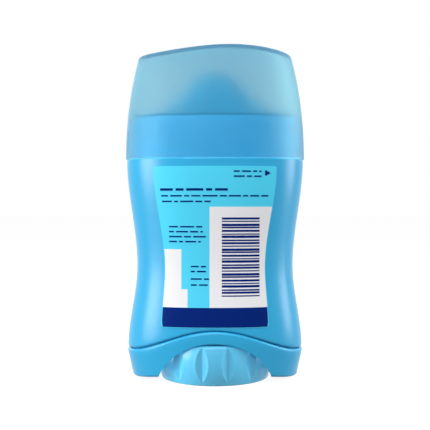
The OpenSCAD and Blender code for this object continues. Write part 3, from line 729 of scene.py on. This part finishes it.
def srgb(r, g, b):
    """A colour given as the eye sees it, 0 to 255, as the shader's own linear values."""
    def linear(value):
        c = value / 255
        return c / 12.92 if c <= 0.04045 else ((c + 0.055) / 1.055) ** 2.4
    return linear(r), linear(g), linear(b), 1.0


def moulded_surface():
    """Node group for moulded plastic: fine grain in the relief, and slow drift in tone and gloss."""
    group = bpy.data.node_groups.new("moulded_surface", "ShaderNodeTree")
    face = group.interface
    for name, default in (("Grain Scale", 900.0), ("Grain Depth", 0.15), ("Roughness", 0.35),
                          ("Roughness Drift", 0.05), ("Tone Drift", 0.04)):
        socket = face.new_socket(name=name, in_out="INPUT", socket_type="NodeSocketFloat")
        socket.default_value = default
    colour = face.new_socket(name="Colour", in_out="INPUT", socket_type="NodeSocketColor")
    colour.default_value = (0.5, 0.5, 0.5, 1)
    face.new_socket(name="Colour", in_out="OUTPUT", socket_type="NodeSocketColor")
    face.new_socket(name="Roughness", in_out="OUTPUT", socket_type="NodeSocketFloat")
    face.new_socket(name="Normal", in_out="OUTPUT", socket_type="NodeSocketVector")
    nodes, links = group.nodes, group.links
    given = nodes.new("NodeGroupInput")
    out = nodes.new("NodeGroupOutput")
    place = nodes.new("ShaderNodeTexCoord")

    grain = nodes.new("ShaderNodeTexNoise")
    grain.inputs["Detail"].default_value = 3
    links.new(place.outputs["Object"], grain.inputs["Vector"])
    links.new(given.outputs["Grain Scale"], grain.inputs["Scale"])
    bump = nodes.new("ShaderNodeBump")
    bump.inputs["Distance"].default_value = GRAIN_HEIGHT
    links.new(given.outputs["Grain Depth"], bump.inputs["Strength"])
    links.new(grain.outputs["Fac"], bump.inputs["Height"])
    links.new(bump.outputs["Normal"], out.inputs["Normal"])

    drift = nodes.new("ShaderNodeTexNoise")
    drift.inputs["Scale"].default_value = 60
    drift.inputs["Detail"].default_value = 2
    links.new(place.outputs["Object"], drift.inputs["Vector"])
    level = nodes.new("ShaderNodeMath")
    level.operation = "SUBTRACT"
    level.inputs[1].default_value = 0.5
    links.new(drift.outputs["Fac"], level.inputs[0])
    rough = nodes.new("ShaderNodeMath")
    rough.operation = "MULTIPLY_ADD"
    links.new(level.outputs[0], rough.inputs[0])
    links.new(given.outputs["Roughness Drift"], rough.inputs[1])
    links.new(given.outputs["Roughness"], rough.inputs[2])
    links.new(rough.outputs[0], out.inputs["Roughness"])

    tone = nodes.new("ShaderNodeMath")
    tone.operation = "MULTIPLY_ADD"
    tone.inputs[2].default_value = 1.0
    links.new(level.outputs[0], tone.inputs[0])
    links.new(given.outputs["Tone Drift"], tone.inputs[1])
    shade = nodes.new("ShaderNodeHueSaturation")
    links.new(tone.outputs[0], shade.inputs["Value"])
    links.new(given.outputs["Colour"], shade.inputs["Color"])
    links.new(shade.outputs["Color"], out.inputs["Colour"])
    return group


def moulded(name, colour, group, roughness, grain=900.0, depth=0.15, tone=0.04, specular=0.5):
    """A plastic with the moulded surface's group in front of a Principled shader."""
    material = bpy.data.materials.new(name)
    material.use_nodes = True
    tree = material.node_tree
    shader = tree.nodes["Principled BSDF"]
    surface = tree.nodes.new("ShaderNodeGroup")
    surface.node_tree = group
    surface.inputs["Grain Scale"].default_value = grain
    surface.inputs["Grain Depth"].default_value = depth
    surface.inputs["Roughness"].default_value = roughness
    surface.inputs["Tone Drift"].default_value = tone
    surface.inputs["Colour"].default_value = srgb(*colour)
    tree.links.new(surface.outputs["Colour"], shader.inputs["Base Color"])
    tree.links.new(surface.outputs["Roughness"], shader.inputs["Roughness"])
    tree.links.new(surface.outputs["Normal"], shader.inputs["Normal"])
    shader.inputs["Specular IOR Level"].default_value = specular
    return material


def printed(name, colour, group, tone, specular):
    """The label's film or one colour of its print, with a coarser, flatter grain than moulded pieces have."""
    return moulded(name, colour, group, roughness=0.34, grain=500.0, depth=0.05, tone=tone,
                   specular=specular)


def glowing(group):
    """The dial's paler plastic, with a little light spread under its skin."""
    material = moulded("dial_blue", DIAL_BLUE, group, roughness=0.24)
    shader = material.node_tree.nodes["Principled BSDF"]
    shader.inputs["Subsurface Weight"].default_value = DIAL_GLOW
    shader.inputs["Subsurface Radius"].default_value = (1, 1, 1)
    shader.inputs["Subsurface Scale"].default_value = DIAL_GLOW_REACH
    return material


def frosted(group):
    """Frosted plastic that light passes, a little bluer the more of it there is in the way."""
    material = moulded("frosted_cap", CAP_FROST, group, roughness=0.58, grain=1400.0, depth=0.2, tone=0.02)
    tree = material.node_tree
    shader = tree.nodes["Principled BSDF"]
    shader.inputs["Transmission Weight"].default_value = 1.0
    shader.inputs["IOR"].default_value = CAP_IOR
    depth = tree.nodes.new("ShaderNodeVolumeAbsorption")
    depth.inputs["Color"].default_value = CAP_TINT
    depth.inputs["Density"].default_value = CAP_TINT_DENSITY
    tree.links.new(depth.outputs["Volume"], tree.nodes["Material Output"].inputs["Volume"])
    path = tree.nodes.new("ShaderNodeLightPath")
    clear = tree.nodes.new("ShaderNodeBsdfTransparent")
    clear.inputs["Color"].default_value = CAP_SHADOW
    mix = tree.nodes.new("ShaderNodeMixShader")
    tree.links.new(path.outputs["Is Shadow Ray"], mix.inputs["Fac"])
    tree.links.new(shader.outputs[0], mix.inputs[1])
    tree.links.new(clear.outputs[0], mix.inputs[2])
    tree.links.new(mix.outputs[0], tree.nodes["Material Output"].inputs["Surface"])
    return material


def dress(piece, material):
    """Gives the piece this material alone."""
    piece.data.materials.clear()
    piece.data.materials.append(material)


def add_camera():
    """A level camera at the photograph's distance and framing."""
    data = bpy.data.cameras.new("camera")
    data.sensor_width = SENSOR
    data.lens = SENSOR * CAMERA_DISTANCE / FRAME_WIDTH
    data.shift_y = CAMERA_SHIFT
    camera = bpy.data.objects.new("camera", data)
    camera.location = (0, -CAMERA_DISTANCE, CAMERA_HEIGHT)
    camera.rotation_euler = (math.pi / 2, 0, 0)
    scene.collection.objects.link(camera)
    scene.camera = camera


def add_lamp(name, place, width, height, power_w, target):
    """A rectangular lamp turned towards its target."""
    data = bpy.data.lights.new(name, "AREA")
    data.shape = "RECTANGLE"
    data.size = width
    data.size_y = height
    data.energy = power_w
    lamp = bpy.data.objects.new(name, data)
    lamp.location = place
    lamp.rotation_euler = (Vector(target) - Vector(place)).to_track_quat("-Z", "Y").to_euler()
    scene.collection.objects.link(lamp)
    return lamp


def light_only(lamp, piece):
    """Lets a lamp reach this piece alone, as light that comes to it through the thin plastic around it."""
    reach = bpy.data.collections.new(lamp.name)
    reach.objects.link(piece)
    lamp.light_linking.receiver_collection = reach
    lamp.light_linking.blocker_collection = reach


def where_seen(tree, lighting, shown):
    """The lighting shader, with the shown one in its place for camera, glossy and transmission rays."""
    nodes, links = tree.nodes, tree.links
    path = nodes.new("ShaderNodeLightPath")
    most = nodes.new("ShaderNodeMath")
    most.operation = "MAXIMUM"
    links.new(path.outputs["Is Camera Ray"], most.inputs[0])
    links.new(path.outputs["Is Glossy Ray"], most.inputs[1])
    all_three = nodes.new("ShaderNodeMath")
    all_three.operation = "MAXIMUM"
    links.new(most.outputs[0], all_three.inputs[0])
    links.new(path.outputs["Is Transmission Ray"], all_three.inputs[1])
    mix = nodes.new("ShaderNodeMixShader")
    links.new(all_three.outputs[0], mix.inputs["Fac"])
    links.new(lighting, mix.inputs[1])
    links.new(shown, mix.inputs[2])
    return mix.outputs[0]


def add_world():
    """An even light on the pack, and white wherever the world itself is seen."""
    world = bpy.data.worlds.new("studio")
    scene.world = world
    world.use_nodes = True
    tree = world.node_tree
    ambient = tree.nodes["Background"]
    ambient.inputs["Color"].default_value = WHITE
    ambient.inputs["Strength"].default_value = AMBIENT
    white = tree.nodes.new("ShaderNodeBackground")
    white.inputs["Color"].default_value = WHITE
    white.inputs["Strength"].default_value = 1.0
    out = where_seen(tree, ambient.outputs[0], white.outputs[0])
    tree.links.new(out, tree.nodes["World Output"].inputs["Surface"])


def add_floor():
    """A wide floor that joins the white behind it, with the pack's shadow on it."""
    bpy.ops.object.select_all(action="DESELECT")
    bpy.ops.mesh.primitive_plane_add(size=FLOOR_SIDE, location=(0, 0, -FLOOR_DROP))
    floor = bpy.context.object
    floor.name = "studio_floor"
    material = bpy.data.materials.new("studio_floor")
    material.use_nodes = True
    tree = material.node_tree
    shader = tree.nodes["Principled BSDF"]
    shader.inputs["Base Color"].default_value = FLOOR_BOUNCE
    shader.inputs["Roughness"].default_value = 1.0
    shader.inputs["Specular IOR Level"].default_value = 0.0
    shade = tree.nodes.new("ShaderNodeBsdfDiffuse")
    shade.inputs["Color"].default_value = FLOOR_SHADE
    glow = tree.nodes.new("ShaderNodeEmission")
    glow.inputs["Color"].default_value = WHITE
    glow.inputs["Strength"].default_value = FLOOR_GLOW
    seen_floor = tree.nodes.new("ShaderNodeAddShader")
    tree.links.new(shade.outputs[0], seen_floor.inputs[0])
    tree.links.new(glow.outputs[0], seen_floor.inputs[1])
    out = where_seen(tree, shader.outputs[0], seen_floor.outputs[0])
    tree.links.new(out, tree.nodes["Material Output"].inputs["Surface"])
    floor.data.materials.append(material)


def build():
    """The camera, the pack's pieces in their materials, and the light."""
    add_camera()
    plastic = moulded_surface()
    blue = moulded("pack_blue", PACK_BLUE, plastic, roughness=0.3)
    pale = glowing(plastic)
    barrel = smooth_copy("barrel", "barrel_shell", SHELL_EDGE, "barrel")
    dress(barrel, blue)
    dress(make_base(), blue)
    cap = smooth_copy("cap", "cap_shell", THIN_EDGE, "cap")
    dress(cap, frosted(plastic))
    seal = smooth_copy("seal_dome", "seal_shell", THIN_EDGE, "seal")
    dress(seal, moulded("seal_blue", SEAL_BLUE, plastic, roughness=0.45, specular=0.15))
    wheel = make_wheel()
    thread = make_thread()
    dress(wheel, pale)
    dress(thread, pale)
    film, band, panels, marks = make_label(barrel)
    dress(film, printed("label_cyan", LABEL_CYAN, plastic, tone=0.02, specular=0.12))
    navy = printed("label_navy", LABEL_NAVY, plastic, tone=0.02, specular=0.06)
    dress(band, navy)
    dress(marks, navy)
    dress(panels, printed("label_white", LABEL_WHITE, plastic, tone=0.01, specular=0.12))
    deodorant = moulded("deodorant", STICK_WHITE, plastic, roughness=0.5, grain=300.0, depth=0.6)
    dress(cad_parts["stick"], deodorant)
    natural = moulded("natural_plastic", NATURAL_PLASTIC, plastic, roughness=0.4)
    dress(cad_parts["elevator"], natural)
    add_world()
    add_floor()
    for lamp in LAMPS:
        add_lamp(*lamp, PACK_MIDDLE)
    for lamp in DIAL_LAMPS:
        light_only(add_lamp(*lamp, DIAL_MIDDLE), wheel)


build()
scene.view_settings.view_transform = "Standard"
